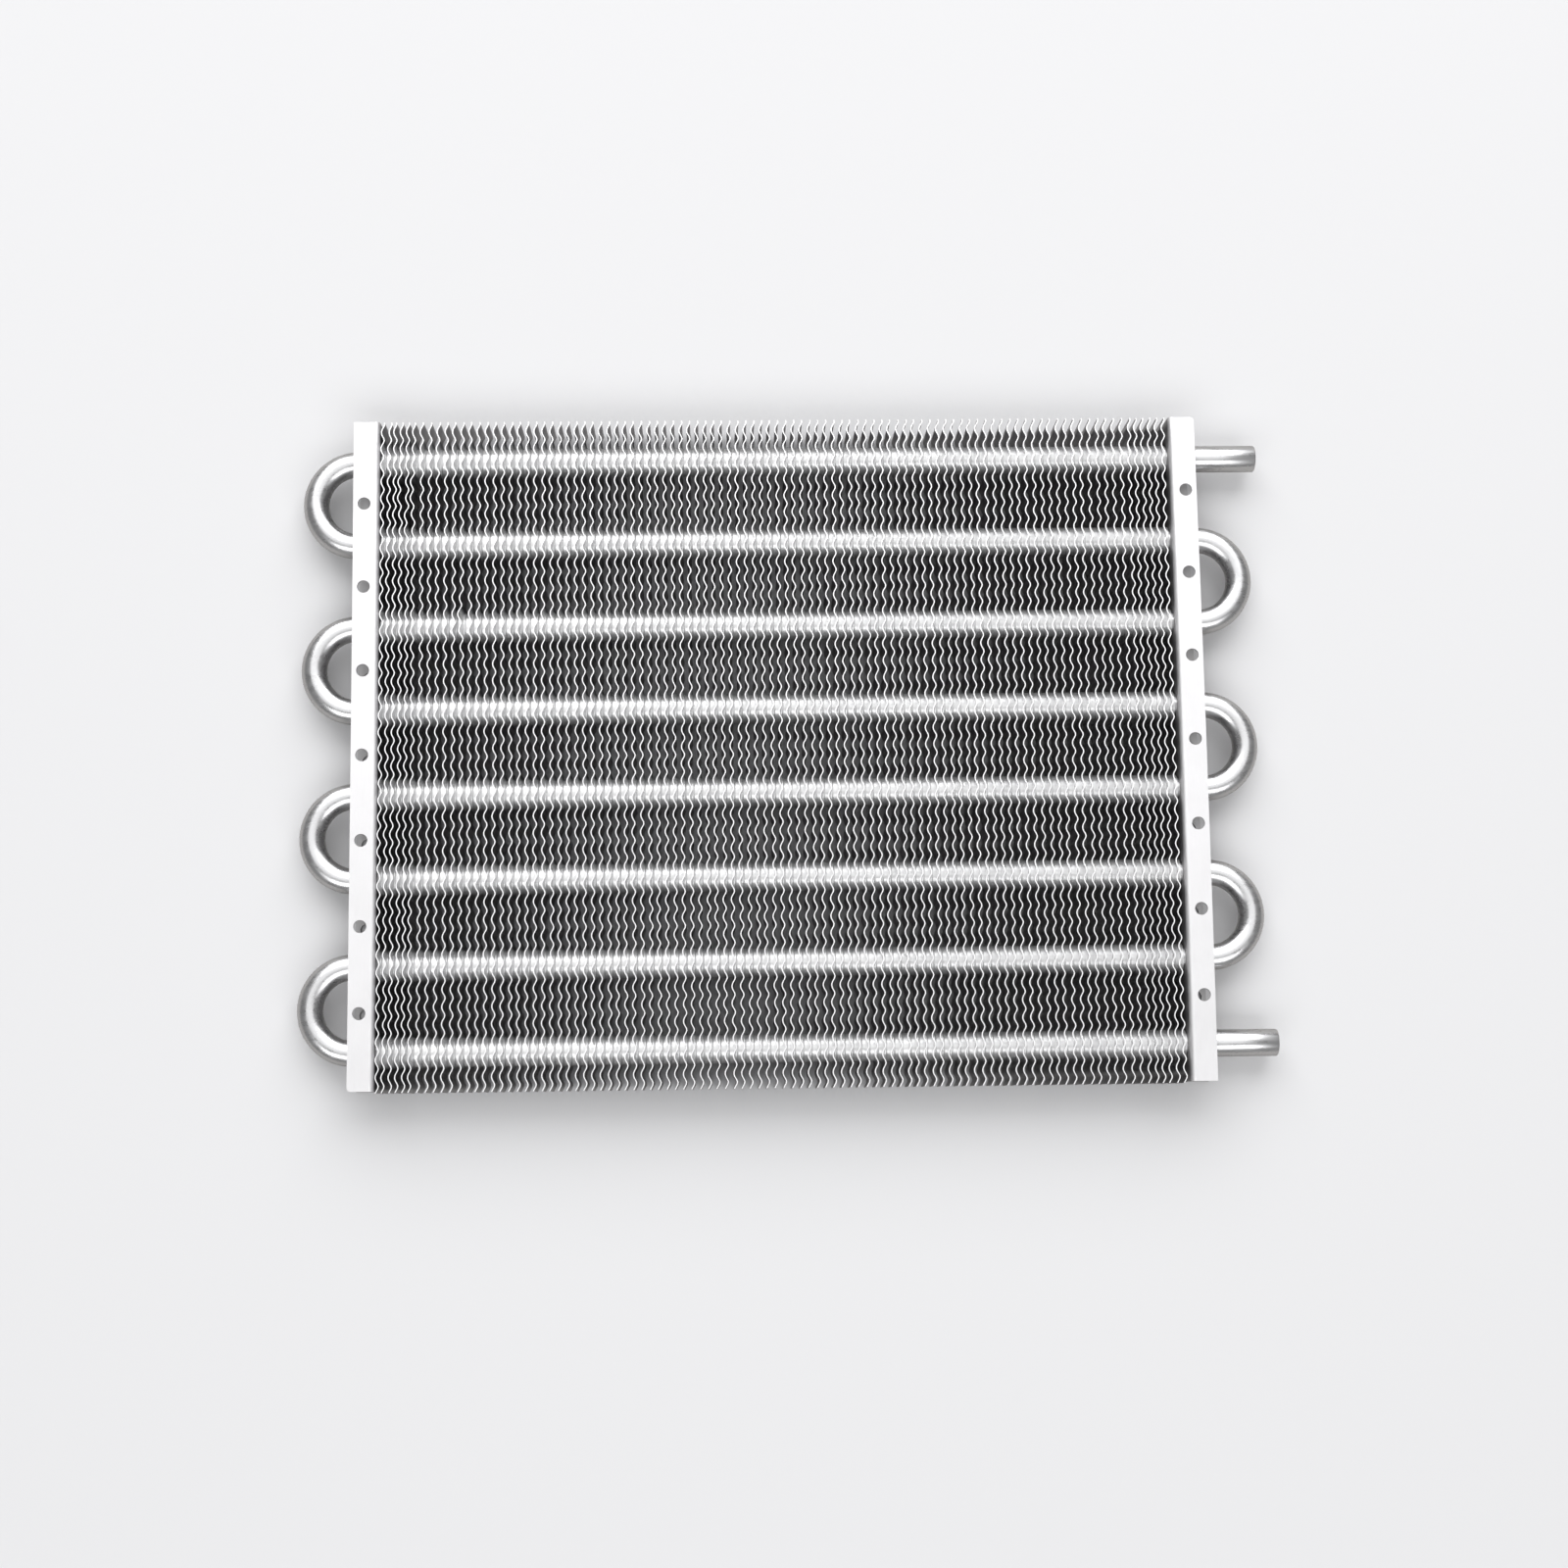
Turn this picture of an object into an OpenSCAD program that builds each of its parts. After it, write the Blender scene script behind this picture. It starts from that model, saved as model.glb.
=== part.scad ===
/* [Core] */

// distance between neighbouring tube rows
row_pitch = 31.75; // [30:0.25:34]
// outer edge to outer edge of the two end plates
core_width = 317.5; // [260:0.5:360]
// thickness of the core from front flange face to back flange face
core_depth = 19; // [17:0.5:22]

/* [End plates] */

// distance from the outer tube rows to the ends of the end plates
plate_end = 13.975; // [12:0.025:17]
// sheet thickness of an end plate
plate_t = 1; // [0.8:0.1:1.2]
// width of a flange from the web to its free edge
flange_w = 9.8; // [9.5:0.1:12]
// outer radius of the two folds
fold_r = 1.8; // [1.4:0.1:2.2]
// distance of the flange holes from the free edge
hole_edge = 4.1; // [3.5:0.1:4.5]
// radius of a flange hole
hole_r = 2.4; // [2:0.1:2.6]
// how far the row of flange holes lies off the plate's middle
hole_shift = 1.6; // [0:0.1:2]
// how far the rounded corner of a flange reaches
corner_r = 1.5; // [1:0.1:2]

/* [Tubes] */

// outside radius of the tube
tube_r = 4.76; // [4.6:0.01:4.9]
// wall of the tube
tube_wall = 0.8; // [0.6:0.05:1]
// straight tube between the left web and the start of a hairpin's bend
hairpin_out = 8; // [6:0.5:10]
// straight tube past the end of a socket before a return bend starts
return_out = 1.5; // [1:0.5:4]
// length of the expanded socket on a hairpin's open end
socket_len = 6; // [5:0.5:7]
// length of the cone that leads into the socket
cone_len = 1; // [0.8:0.1:1.5]
// how far the inlet and outlet ends stand out of their sockets
stub_out = 25; // [20:1:40]
// how much wider the radius of a hose end is than the tube's
hose_swell = 0.24; // [0.1:0.02:0.4]

/* [Fins] */

// number of fins between the end plates
fins = 100; // [60:20:100]
// sheet thickness of a fin
fin_t = 0.24; // [0.2:0.02:0.3]
// how much longer a fin is than an end plate
fin_over = 0.4; // [-1:0.2:1.4]
// how far the fins sit below the plates' middle
fin_drop = 0.4; // [0:0.1:0.6]
// height of the wave from crest to crest, measured on the sheet's middle
wave_h = 1.2; // [0.6:0.1:1.3]
// number of waves to one row pitch
waves_per_row = 5; // [5:2:7]
// how far a crest lies above the middle of its tube row
wave_shift = 0.5; // [0:0.1:0.8]
// gap left between the fins and each flange plane
fin_inset = 0.3; // [0.2:0.1:0.6]
// distance of the first fin from the left web
fin_first = 1; // [1:0.1:1.6]
// distance of the last fin from the right web
fin_last = 2.2; // [2:0.1:3]
// wall of the collar round each tube
collar_wall = 0.35; // [0.3:0.05:0.45]

/* [Hidden] */

// number of tube rows
rows = 8;
// play between a tube and what it passes through
fit_gap = 0.05;
// play between a tube end and its socket
socket_gap = 0.1;
// plain tube between a socket's end and the widened hose end
hose_neck = 1.5;
// gap between one collar's rim and the next fin's crest
collar_gap = 0.16;
// number of fins at each end that are pushed together
tight_fins = 5;
// spacing of those fins at the left and at the right
tight_left = 2.35;
tight_right = 2.6;
cut = 1;

plate_len = (rows - 1) * row_pitch + 2 * plate_end;
fin_len = plate_len + fin_over;
web_x = core_width / 2 - flange_w;
tube_z = core_depth / 2;
bend_r = row_pitch / 2;
bore_r = tube_r - tube_wall;
collar_in = tube_r + fit_gap;
collar_out = collar_in + collar_wall;
socket_in = tube_r + socket_gap;
socket_out = socket_in + tube_wall;
socket_x = web_x + plate_t + 1;
socket_end = socket_x + cone_len + socket_len;
tube_stop = socket_x + cone_len + 0.3;
bend_left_x = web_x + plate_t + hairpin_out;
bend_right_x = socket_end + return_out;
stub_end = socket_end + stub_out;
hose_r = tube_r + hose_swell;
hose_x = socket_end + hose_neck + cone_len;
apex_x = bend_left_x + bend_r + tube_r;
mid_x = (stub_end - apex_x) / 2;
hole_count = rows - 1;

fin_from = -web_x + fin_first;
fin_to = web_x - fin_last;
tight = tight_fins * (tight_left + tight_right);
loose = (fin_to - fin_from - tight) / (fins - 1 - 2 * tight_fins);
fin_depth = core_depth - 2 * fin_inset;
fin_group = fins / 20;
wave = row_pitch / waves_per_row;
fin_top = fin_len / 2 - fin_drop;
fin_bottom = -fin_len / 2 - fin_drop;
mid_y = -(max(plate_len / 2, fin_top) + min(-plate_len / 2, fin_bottom)) / 2;
top_crest = floor((fin_top - wave_shift) * 2 / wave);
bottom_crest = ceil((fin_bottom - wave_shift) * 2 / wave);

// height of a tube row across the rows, counted from the top
function row_y(k) = ((rows - 1) / 2 - k) * row_pitch;

// place of a fin's middle between the webs
function fin_x(i) =
    i <= tight_fins ? fin_from + i * tight_left
    : i < fins - tight_fins ? fin_from + tight_fins * tight_left + (i - tight_fins) * loose
    : fin_to - (fins - 1 - i) * tight_right;

// length of a fin's collars, from the middle of its sheet towards the next fin
function collar_len(i) =
    (i < fins - 1 ? fin_x(i + 1) - fin_x(i) : fin_last - wave_h / 2) - fin_t / 2 - collar_gap;

// the zigzag of a fin: a crest at every half wave, to the right at the odd ones
function crest_x(j) = (abs(j) % 2 == 1 ? 1 : -1) * wave_h / 2;
function crest_y(j) = wave * j / 2 + wave_shift;
function end_x(y, j) =
    crest_x(j) + (crest_x(j + 1) - crest_x(j)) * (y - crest_y(j)) * 2 / wave;

// a crest is left out where the sheet lies flat round a tube
function row_step(j) = (abs(j) + waves_per_row) % (2 * waves_per_row);
function on_land(j) = row_step(j) < 2 || row_step(j) > 2 * waves_per_row - 2;
function band(side) = concat(
    [[end_x(fin_top, top_crest) + side, fin_top]],
    [for (j = [top_crest:-1:bottom_crest]) if (!on_land(j)) [crest_x(j) + side, crest_y(j)]],
    [[end_x(fin_bottom, bottom_crest - 1) + side, fin_bottom]]
);
function turned(v) = [for (j = [len(v) - 1:-1:0]) v[j]];

// everything stands with the middle of its outline over the origin
module placed() {
    translate([-mid_x, mid_y, 0])
        children();
}

// a folded channel's section, free edges towards +x
module channel(r, w) {
    translate([r, 0])
        square([w - r, core_depth - 2 * (fold_r - r)]);
    translate([0, r])
        square([w, core_depth - 2 * fold_r]);
    translate([r, r])
        circle(r);
    translate([r, core_depth - 2 * fold_r + r])
        circle(r);
}

module plate_body() {
    translate([0, plate_len / 2, 0])
        rotate([90, 0, 0])
            linear_extrude(plate_len)
                difference() {
                    channel(fold_r, flange_w);
                    translate([plate_t, plate_t])
                        channel(fold_r - plate_t, flange_w + cut);
                }
}

module corner_cut() {
    difference() {
        translate([flange_w - corner_r, plate_len / 2 - corner_r, -cut])
            cube([corner_r + cut, corner_r + cut, core_depth + 2 * cut]);
        translate([flange_w - corner_r, plate_len / 2 - corner_r, -2 * cut])
            cylinder(h = core_depth + 4 * cut, r = corner_r);
    }
}

// the right-hand plate, standing at its web
module end_plate() {
    difference() {
        plate_body();
        corner_cut();
        for (k = [0:hole_count - 1])
            translate([flange_w - hole_edge, ((hole_count - 1) / 2 - k) * row_pitch + hole_shift, -cut])
                cylinder(h = core_depth + 2 * cut, r = hole_r);
        for (k = [0:rows - 1])
            translate([-cut, row_y(k), tube_z])
                rotate([0, 90, 0])
                    cylinder(h = plate_t + 2 * cut, r = collar_in);
    }
}

// a solid U: two legs from the open end and half a ring
module u_solid(r, leg_from, bend_x, extra) {
    for (side = [-1, 1])
        translate([leg_from - extra, side * bend_r, 0])
            rotate([0, 90, 0])
                cylinder(h = bend_x - leg_from + extra, r = r);
    translate([bend_x, 0, 0])
        rotate([0, 0, -90])
            rotate_extrude(angle = 180)
                translate([bend_r, 0])
                    circle(r);
}

// one hairpin between two rows, with its middle at y
module hairpin(y) {
    translate([0, y, tube_z])
        mirror([1, 0, 0])
            difference() {
                union() {
                    u_solid(tube_r, -socket_x, bend_left_x, 0);
                    for (side = [-1, 1])
                        translate([-socket_x, side * bend_r, 0])
                            rotate([0, -90, 0])
                                socket_outside();
                }
                u_solid(bore_r, -socket_x, bend_left_x, 0);
                for (side = [-1, 1])
                    translate([-socket_x, side * bend_r, 0])
                        rotate([0, -90, 0])
                            socket_inside();
            }
}

module socket_outside() {
    cylinder(h = cone_len, r1 = tube_r, r2 = socket_out);
    translate([0, 0, cone_len])
        cylinder(h = socket_len, r = socket_out);
}

module socket_inside() {
    cylinder(h = cone_len, r1 = bore_r, r2 = socket_in);
    translate([0, 0, cone_len])
        cylinder(h = socket_len + cut, r = socket_in);
}

// one return bend between two hairpins, with its middle at y
module return_bend(y) {
    translate([0, y, tube_z])
        difference() {
            u_solid(tube_r, tube_stop, bend_right_x, 0);
            u_solid(bore_r, tube_stop, bend_right_x, cut);
        }
}

// a straight tube end in the socket of row k, widened where the hose goes on
module stub(k) {
    translate([0, row_y(k), tube_z])
        rotate([0, 90, 0])
            difference() {
                stub_solid(tube_r, hose_r, 0);
                stub_solid(bore_r, hose_r - tube_wall, cut);
            }
}

module stub_solid(r, wide_r, extra) {
    translate([0, 0, tube_stop - extra])
        cylinder(h = hose_x - cone_len - tube_stop + extra, r = r);
    translate([0, 0, hose_x - cone_len])
        cylinder(h = cone_len, r1 = r, r2 = wide_r);
    translate([0, 0, hose_x])
        cylinder(h = stub_end - hose_x + extra, r = wide_r);
}

// the ring of filler metal that closes the joint at a socket's mouth
module braze_ring(k) {
    translate([socket_end, row_y(k), tube_z])
        rotate([0, 90, 0])
            rotate_extrude()
                polygon([
                    [tube_r + fit_gap / 5, 0],
                    [socket_out - 0.1, 0],
                    [tube_r + 0.45, 0.35],
                    [tube_r + fit_gap / 5, 0.9]
                ]);
}

// one wavy fin with its eight collars
module fin(i) {
    translate([fin_x(i), 0, 0])
        difference() {
            union() {
                translate([0, 0, fin_inset])
                    linear_extrude(fin_depth)
                        polygon(concat(band(-fin_t / 2), turned(band(fin_t / 2))));
                for (k = [0:rows - 1])
                    translate([wave_h / 2, row_y(k), tube_z])
                        rotate([0, 90, 0])
                            cylinder(h = collar_len(i), r = collar_out);
            }
            for (k = [0:rows - 1])
                translate([-cut, row_y(k), tube_z])
                    rotate([0, 90, 0])
                        cylinder(h = wave_h + collar_len(i) + 2 * cut, r = collar_in);
        }
}

module fin_pack(g) {
    color("silver")
        placed()
            for (i = [g * fin_group:(g + 1) * fin_group - 1])
                fin(i);
}

module end_plate_right() {
    color("gainsboro")
        placed()
            translate([web_x, 0, 0])
                end_plate();
}

module end_plate_left() {
    color("gainsboro")
        placed()
            translate([-web_x, 0, 0])
                rotate([0, 0, 180])
                    end_plate();
}

module hairpin_1() {
    color("lightgray")
        placed()
            hairpin(row_y(0.5));
}

module hairpin_2() {
    color("lightgray")
        placed()
            hairpin(row_y(2.5));
}

module hairpin_3() {
    color("lightgray")
        placed()
            hairpin(row_y(4.5));
}

module hairpin_4() {
    color("lightgray")
        placed()
            hairpin(row_y(6.5));
}

module return_bend_1() {
    color("lightgray")
        placed()
            return_bend(row_y(1.5));
}

module return_bend_2() {
    color("lightgray")
        placed()
            return_bend(row_y(3.5));
}

module return_bend_3() {
    color("lightgray")
        placed()
            return_bend(row_y(5.5));
}

module inlet_stub() {
    color("lightgray")
        placed()
            stub(0);
}

module outlet_stub() {
    color("lightgray")
        placed()
            stub(rows - 1);
}

module bend_braze_rings() {
    color("white")
        placed()
            for (k = [1:rows - 2])
                braze_ring(k);
}

module stub_braze_rings() {
    color("white")
        placed()
            for (k = [0, rows - 1])
                braze_ring(k);
}

module fins_01() fin_pack(0);
module fins_02() fin_pack(1);
module fins_03() fin_pack(2);
module fins_04() fin_pack(3);
module fins_05() fin_pack(4);
module fins_06() fin_pack(5);
module fins_07() fin_pack(6);
module fins_08() fin_pack(7);
module fins_09() fin_pack(8);
module fins_10() fin_pack(9);
module fins_11() fin_pack(10);
module fins_12() fin_pack(11);
module fins_13() fin_pack(12);
module fins_14() fin_pack(13);
module fins_15() fin_pack(14);
module fins_16() fin_pack(15);
module fins_17() fin_pack(16);
module fins_18() fin_pack(17);
module fins_19() fin_pack(18);
module fins_20() fin_pack(19);

end_plate_left();
end_plate_right();
hairpin_1();
hairpin_2();
hairpin_3();
hairpin_4();
return_bend_1();
return_bend_2();
return_bend_3();
inlet_stub();
outlet_stub();
bend_braze_rings();
stub_braze_rings();
fins_01();
fins_02();
fins_03();
fins_04();
fins_05();
fins_06();
fins_07();
fins_08();
fins_09();
fins_10();
fins_11();
fins_12();
fins_13();
fins_14();
fins_15();
fins_16();
fins_17();
fins_18();
fins_19();
fins_20();
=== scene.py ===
# %% [markdown]
# # A tube-and-fin transmission oil cooler, lying flat
# A hundred thin wavy fins stand side by side on rows of straight tube, between two folded end plates.
# The CAD model gives every piece its size and place, so this lesson first loads it and measures it. The
# forms that a hard-surface CAD file keeps plain, such as the fins' soft waves and small dents, the worn
# folds of the plates and the drawn tubes, are then made here over the same solids.

# %% Load the CAD frame
import math

import bmesh
import bpy
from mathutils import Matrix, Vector


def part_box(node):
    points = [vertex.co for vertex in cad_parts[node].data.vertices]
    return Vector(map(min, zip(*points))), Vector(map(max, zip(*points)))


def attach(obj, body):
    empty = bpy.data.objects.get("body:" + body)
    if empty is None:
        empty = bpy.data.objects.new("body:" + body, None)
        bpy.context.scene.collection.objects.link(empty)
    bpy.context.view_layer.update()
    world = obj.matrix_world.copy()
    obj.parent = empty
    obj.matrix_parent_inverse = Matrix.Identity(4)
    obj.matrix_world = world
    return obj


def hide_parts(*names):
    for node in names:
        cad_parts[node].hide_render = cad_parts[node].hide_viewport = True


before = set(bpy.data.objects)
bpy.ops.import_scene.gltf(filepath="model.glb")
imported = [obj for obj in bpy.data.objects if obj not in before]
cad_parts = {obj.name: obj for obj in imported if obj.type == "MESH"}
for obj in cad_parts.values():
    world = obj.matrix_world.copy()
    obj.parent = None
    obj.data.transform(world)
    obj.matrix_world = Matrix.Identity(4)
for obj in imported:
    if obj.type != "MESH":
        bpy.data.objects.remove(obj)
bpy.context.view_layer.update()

MM = 0.001

# %% [markdown]
# ## Sizes read from the solids
# A dressed piece has to sit exactly on the solid it stands for. Typing the sizes in again would work until
# the CAD model changes, so the main planes are measured on the CAD nodes, and only the sizes that no box
# shows, such as a bend's radius, are written down once.

# %% Measure the core
plate_low, plate_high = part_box("end_plate_left")
right_low, right_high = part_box("end_plate_right")
first_low, first_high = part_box("fins_01")
stub_low, stub_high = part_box("inlet_stub")

DEPTH = plate_high.z - plate_low.z
MID_X = (plate_low.x + right_high.x) / 2
MID_Y = (plate_low.y + plate_high.y) / 2
AXIS_Z = DEPTH / 2
ROWS = 8
PITCH = 31.75 * MM
TUBE_R = 4.76 * MM
BORE_R = 3.96 * MM
WEB_X = right_low.x - MID_X
print("core", round(DEPTH / MM, 2), "mm thick; webs at", round(WEB_X / MM, 2), "mm either side")


def row_y(k):
    """The height of tube row k across the rows, counted from the top."""
    return MID_Y + ((ROWS - 1) / 2 - k) * PITCH


# %% [markdown]
# ## Two small helpers
# Every piece ends the same way: a mesh becomes an object at the origin, takes a material, rides on the
# part's only body and replaces its CAD node. Doing that in one function keeps the later cells short.


# %% Make and dress a piece
def new_object(name, verts, faces, smooth=True):
    mesh = bpy.data.meshes.new(name)
    mesh.from_pydata([tuple(v) for v in verts], [], faces)
    mesh.validate()
    obj = bpy.data.objects.new(name, mesh)
    bpy.context.scene.collection.objects.link(obj)
    shade(obj, smooth)
    return obj


def shade(obj, smooth=True, angle=35):
    """Smooth faces, with the edges sharper than the angle kept crisp."""
    mesh = obj.data
    mesh.polygons.foreach_set("use_smooth", [smooth] * len(mesh.polygons))
    if smooth:
        mesh.set_sharp_from_angle(angle=math.radians(angle))
    mesh.update()


def outward(obj):
    """Turns every face outwards and closes doubled seams."""
    bm = bmesh.new()
    bm.from_mesh(obj.data)
    bmesh.ops.remove_doubles(bm, verts=bm.verts, dist=1e-7)
    bmesh.ops.recalc_face_normals(bm, faces=bm.faces)
    bm.to_mesh(obj.data)
    bm.free()


def dress(obj, material, slot, *nodes):
    obj.data.materials.clear()
    obj.data.materials.append(material)
    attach(obj, "root")
    if nodes:
        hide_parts(*nodes)
    return obj


print("helpers ready")

# %% [markdown]
# ## Small parts of a node tree
# A material is a tree of nodes, and most of its lines would only join sockets. Each of these helpers makes
# one node, feeds it and gives back what comes out, so that a material reads like a list of steps.


# %% Feed, calculate and map
def feed(tree, socket, value):
    """Joins a socket to another node's output, or gives it a plain value."""
    if isinstance(value, bpy.types.NodeSocket):
        tree.links.new(value, socket)
    else:
        socket.default_value = value


def shader_math(tree, operation, *values):
    node = tree.nodes.new("ShaderNodeMath")
    node.operation = operation
    for socket, value in zip(node.inputs, values):
        feed(tree, socket, value)
    return node.outputs[0]


def shader_range(tree, value, low, high, least=0.0, most=1.0, soft=False):
    """Maps low to least and high to most, evenly or with soft ends."""
    node = tree.nodes.new("ShaderNodeMapRange")
    node.interpolation_type = "SMOOTHSTEP" if soft else "LINEAR"
    for key, number in (("From Min", low), ("From Max", high), ("To Min", least), ("To Max", most)):
        node.inputs[key].default_value = number
    feed(tree, node.inputs["Value"], value)
    return node.outputs["Result"]


def shader_axis(tree, vector, axis):
    node = tree.nodes.new("ShaderNodeSeparateXYZ")
    feed(tree, node.inputs[0], vector)
    return node.outputs["XYZ".index(axis)]


print("node helpers ready")


# %% Mix, scatter and bump
def shader_mix(tree, factor, first, second, colour=False):
    """Goes from first to second, numbers or colours, as the factor goes from 0 to 1."""
    node = tree.nodes.new("ShaderNodeMix")
    node.data_type = "RGBA" if colour else "FLOAT"
    a, b, out = (6, 7, 2) if colour else (2, 3, 0)
    for index, value in ((0, factor), (a, first), (b, second)):
        feed(tree, node.inputs[index], value)
    return node.outputs[out]


def shader_noise(tree, vector, scale, detail, rough=0.5):
    node = tree.nodes.new("ShaderNodeTexNoise")
    for key, number in (("Scale", scale), ("Detail", detail), ("Roughness", rough)):
        node.inputs[key].default_value = number
    feed(tree, node.inputs["Vector"], vector)
    return node.outputs["Fac"]


def shader_bump(tree, height, strength, distance):
    node = tree.nodes.new("ShaderNodeBump")
    node.inputs["Strength"].default_value = strength
    node.inputs["Distance"].default_value = distance
    feed(tree, node.inputs["Height"], height)
    return node


print("texture helpers ready")

# %% [markdown]
# ## Where the metal is in shade
# Metal that only sees other metal looks dark, and more so on the real cooler than this simple studio shows.
# Two masks make up for it with painted shade. One finds the foil's broad faces away from the tubes, and the
# other what lies below an end plate's front flange. Both places take a painted shade, a darker metal
# colour, and collars and cut edges stay bright.

# %% Masks for shaded metal
BROAD_FACE = (0.72, 0.96)
BESIDE_ROW = (4.2 * MM, 6.8 * MM)
FADE = 0.1 * MM


def painted_fin_shade_mask(tree, coord):
    """Where the fins' painted shade goes: 1 on faces that look along the tubes, and less on the foil beside
    a tube row.
    """
    normal = tree.nodes.new("ShaderNodeNewGeometry").outputs["Normal"]
    along = shader_math(tree, "ABSOLUTE", shader_axis(tree, normal, "X"))
    from_row = shader_math(tree, "SUBTRACT", shader_axis(tree, coord, "Y"), row_y(0))
    from_row = shader_math(tree, "WRAP", from_row, PITCH / 2, -PITCH / 2)
    broad_face = shader_range(tree, along, *BROAD_FACE, soft=True)
    off_row = shader_range(tree, shader_math(tree, "ABSOLUTE", from_row), *BESIDE_ROW, soft=True)
    return shader_math(tree, "MULTIPLY", broad_face, off_row)


def below(tree, coord, height):
    """1 below a height and 0 above it."""
    return shader_range(tree, shader_axis(tree, coord, "Z"), height - FADE, height + FADE, 1.0, 0.0)


print("masks ready")

# %% [markdown]
# ## Bare aluminium, four ways
# All of the cooler is bare aluminium, but each piece shows it differently: the end plates are pale rolled
# sheet with a faint grain, the fins are thin bright foil, the tubes are drawn and shiny, and the braze is
# dull. One function builds the node tree, and its arguments set how rough, how grainy and how wavy the
# surface is. Texture coordinates are Object coordinates, so the pattern has a real size in metres.

# %% Metal materials
BLOTCHES = 45.0
WAVE_HEIGHT = 0.4 * MM
GRAIN_HEIGHT = 0.05 * MM


def metal(
    name, colour, rough, spread, grain, stretch, bump, dents, metallic=1.0, painted_fin_shade=None, inside=None
):
    """The fins' shade argument is a painted shade: a darker colour and a roughness for the foil's broad
    faces; inside is a painted shade colour for a plate's channel and the height it stays below.
    """
    mat = bpy.data.materials.new(name)
    mat.use_nodes = True
    tree = mat.node_tree
    nodes, links = tree.nodes, tree.links
    nodes.clear()
    out = nodes.new("ShaderNodeOutputMaterial")
    bsdf = nodes.new("ShaderNodeBsdfPrincipled")
    links.new(bsdf.outputs["BSDF"], out.inputs["Surface"])
    coord = nodes.new("ShaderNodeTexCoord").outputs["Object"]
    mapping = nodes.new("ShaderNodeMapping")
    mapping.inputs["Scale"].default_value = stretch
    links.new(coord, mapping.inputs["Vector"])

    fine = shader_noise(tree, mapping.outputs["Vector"], grain, 6.0, 0.65)
    broad = shader_noise(tree, coord, BLOTCHES, 3.0)
    darker = (*[c * 0.9 for c in colour], 1.0)
    lighter = (*[min(1.0, c * 1.05) for c in colour], 1.0)
    surface = shader_mix(tree, broad, darker, lighter, colour=True)
    sheen = shader_range(tree, fine, 0.3, 0.7, rough - spread, rough + spread)
    # painted shade: the fins' broad faces between the tubes take a darker colour, with their own roughness
    # and full metallic
    if painted_fin_shade:
        mask = painted_fin_shade_mask(tree, coord)
        surface = shader_mix(tree, mask, surface, (*painted_fin_shade[0], 1.0), colour=True)
        sheen = shader_mix(tree, mask, sheen, painted_fin_shade[1])
        metallic = shader_mix(tree, mask, metallic, 1.0)
    # painted shade: the inside of a plate's channel, below the given height, takes a darker colour
    if inside:
        surface = shader_mix(tree, below(tree, coord, inside[1]), surface, (*inside[0], 1.0), colour=True)
    for key, value in (("Base Color", surface), ("Roughness", sheen), ("Metallic", metallic)):
        feed(tree, bsdf.inputs[key], value)

    waves = shader_bump(tree, broad, dents, WAVE_HEIGHT)
    grains = shader_bump(tree, fine, bump, GRAIN_HEIGHT)
    links.new(waves.outputs["Normal"], grains.inputs["Normal"])
    links.new(grains.outputs["Normal"], bsdf.inputs["Normal"])
    return mat


print("metal() ready")

# %% Four kinds of aluminium
plate_metal = metal(
    "plate_aluminium",
    (0.76, 0.755, 0.765),
    rough=0.5,
    spread=0.1,
    grain=900.0,
    stretch=(1.0, 0.12, 1.0),
    bump=0.35,
    dents=0.1,
    metallic=0.8,
    # painted shade inside the channel, below the front flange
    inside=((0.45, 0.445, 0.45), DEPTH - 1.6 * MM),
)
fin_metal = metal(
    "fin_aluminium",
    (0.97, 0.97, 0.98),
    rough=0.36,
    spread=0.08,
    grain=700.0,
    stretch=(1.0, 1.0, 0.15),
    bump=0.15,
    dents=0.25,
    metallic=0.68,
    # painted shade on the broad faces between the fins
    painted_fin_shade=((0.4, 0.4, 0.42), 0.3),
)
tube_metal = metal(
    "tube_aluminium",
    (0.72, 0.72, 0.73),
    rough=0.3,
    spread=0.08,
    grain=500.0,
    stretch=(0.15, 1.0, 1.0),
    bump=0.2,
    dents=0.2,
)
braze_metal = metal(
    "braze_aluminium",
    (0.66, 0.655, 0.65),
    rough=0.5,
    spread=0.12,
    grain=1500.0,
    stretch=(1.0, 1.0, 1.0),
    bump=0.6,
    dents=0.3,
)
print("materials:", [m.name for m in bpy.data.materials])

# %% [markdown]
# ## One flat fin
# A fin is a strip of foil with a hole at each tube, and a collar drawn up round the hole. A boolean cut
# would give long thin triangles that crumple when the sheet is waved, so the strip is laid out as columns
# instead: each column runs from the front edge to the back edge, and one that meets a hole stops at the
# circle. The collar's vertices carry a value from 0 at the sheet to 1 at the rim, which sets their height.

# %% Lay out the flat fin
FIN_TOP = max(first_high.y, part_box("fins_20")[1].y)
FIN_BOTTOM = min(first_low.y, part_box("fins_20")[0].y)
FIN_LOW, FIN_HIGH = first_low.z, first_high.z
FOIL = 0.24 * MM
HOLE_R = 5.0 * MM
COLLAR_OUT = 5.15 * MM
COLLAR_IN = 4.83 * MM
STEP = 0.85 * MM
LIP = 0.3 * MM
EDGE_HALF = 0.19 * MM
ARC_COLUMNS = 14
COLLAR_SIDES = 28
FLARE = 0.45 * MM
RIM_BACK = 0.05 * MM


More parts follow.
